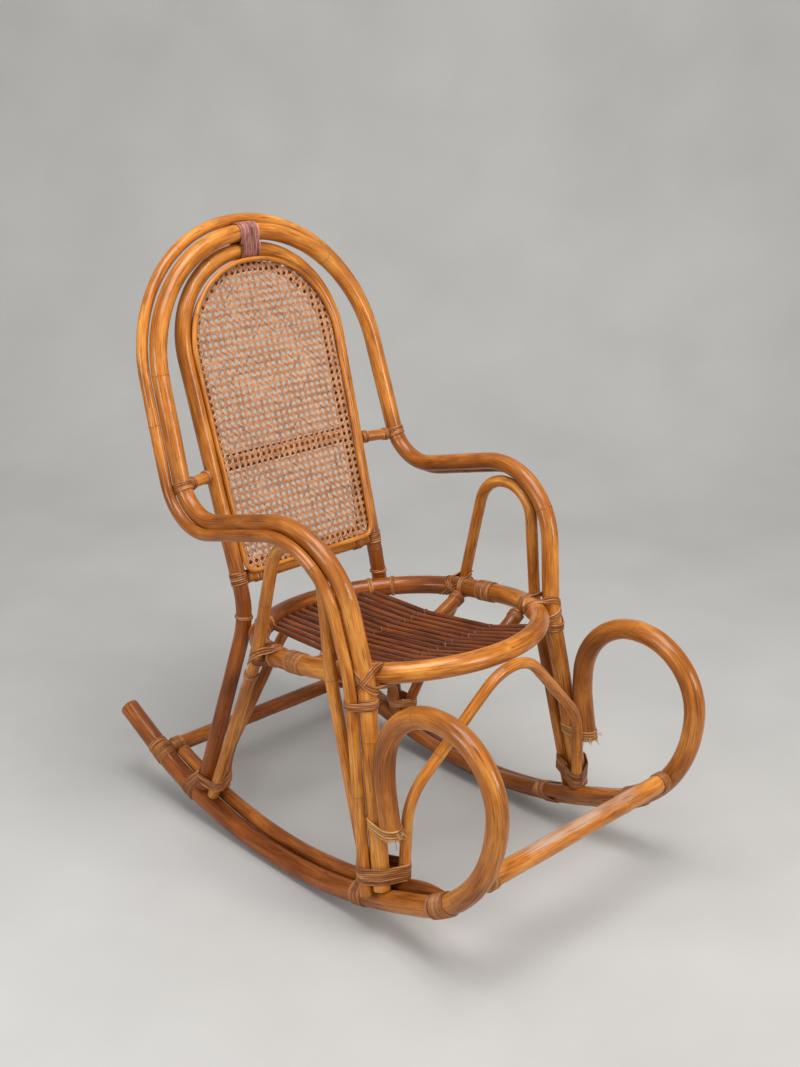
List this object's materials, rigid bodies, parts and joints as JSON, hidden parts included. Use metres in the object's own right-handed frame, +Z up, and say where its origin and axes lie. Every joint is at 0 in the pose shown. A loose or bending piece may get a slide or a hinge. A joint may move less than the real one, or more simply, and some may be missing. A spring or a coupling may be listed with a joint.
{
  "type": "rattan rocking chair",
  "caption": "Rocking chair of bent rattan poles with curled rockers, hooped arms, a round slatted seat and an arched cane back.",
  "frame": {"origin": "on the floor under the middle of the chair's bounding box, at rest", "axes": "+X to the sitter's left, -Y to the front where the sitter faces, +Z up"},
  "size_m": [0.56, 0.954, 1.0411],
  "materials": {
    "honey_rattan": "varnished, glossy",
    "brown_rattan": "varnished, glossy",
    "dark_rattan": "satin",
    "woven_cane": "satin",
    "cane_binding": "satin",
    "dark_binding": "glossy"
  },
  "bodies": {
    "root": {"back_arch": "honey_rattan", "back_rail": "honey_rattan", "back_rail_bindings": "cane_binding", "cane_bead": "woven_cane", "cane_frame": "honey_rattan", "cane_panel": "woven_cane", "cane_rail": "honey_rattan", "crossbar_bindings": "cane_binding", "curl_bindings": "cane_binding", "foot_rail": "honey_rattan", "foot_rail_bindings": "cane_binding", "front_arch": "honey_rattan", "front_crossbar": "honey_rattan", "hoop_follower": "honey_rattan", "left_inner_rocker": "brown_rattan", "left_peg": "honey_rattan", "left_rocker": "brown_rattan", "left_side_pole": "honey_rattan", "leg_bindings": "cane_binding", "leg_foot_bindings": "cane_binding", "outer_hoop": "honey_rattan", "peg_bindings": "cane_binding", "post_bindings": "cane_binding", "rear_arch": "honey_rattan", "rear_crossbar": "honey_rattan", "rear_leg_bindings": "cane_binding", "rear_stretcher": "brown_rattan", "right_inner_rocker": "brown_rattan", "right_peg": "honey_rattan", "right_rocker": "brown_rattan", "right_side_pole": "honey_rattan", "ring_bindings": "cane_binding", "rocker_straps": "cane_binding", "seat_ring": "honey_rattan", "side_pole_bindings": "cane_binding", "slat_01": "dark_rattan", "slat_02": "dark_rattan", "slat_03": "dark_rattan", "slat_04": "dark_rattan", "slat_05": "dark_rattan", "slat_06": "dark_rattan", "slat_07": "dark_rattan", "slat_08": "dark_rattan", "slat_09": "dark_rattan", "slat_10": "dark_rattan", "slat_11": "dark_rattan", "slat_12": "dark_rattan", "slat_13": "dark_rattan", "slat_14": "dark_rattan", "stretcher_bindings": "cane_binding", "top_binding": "dark_binding"}
  },
  "joints": []
}
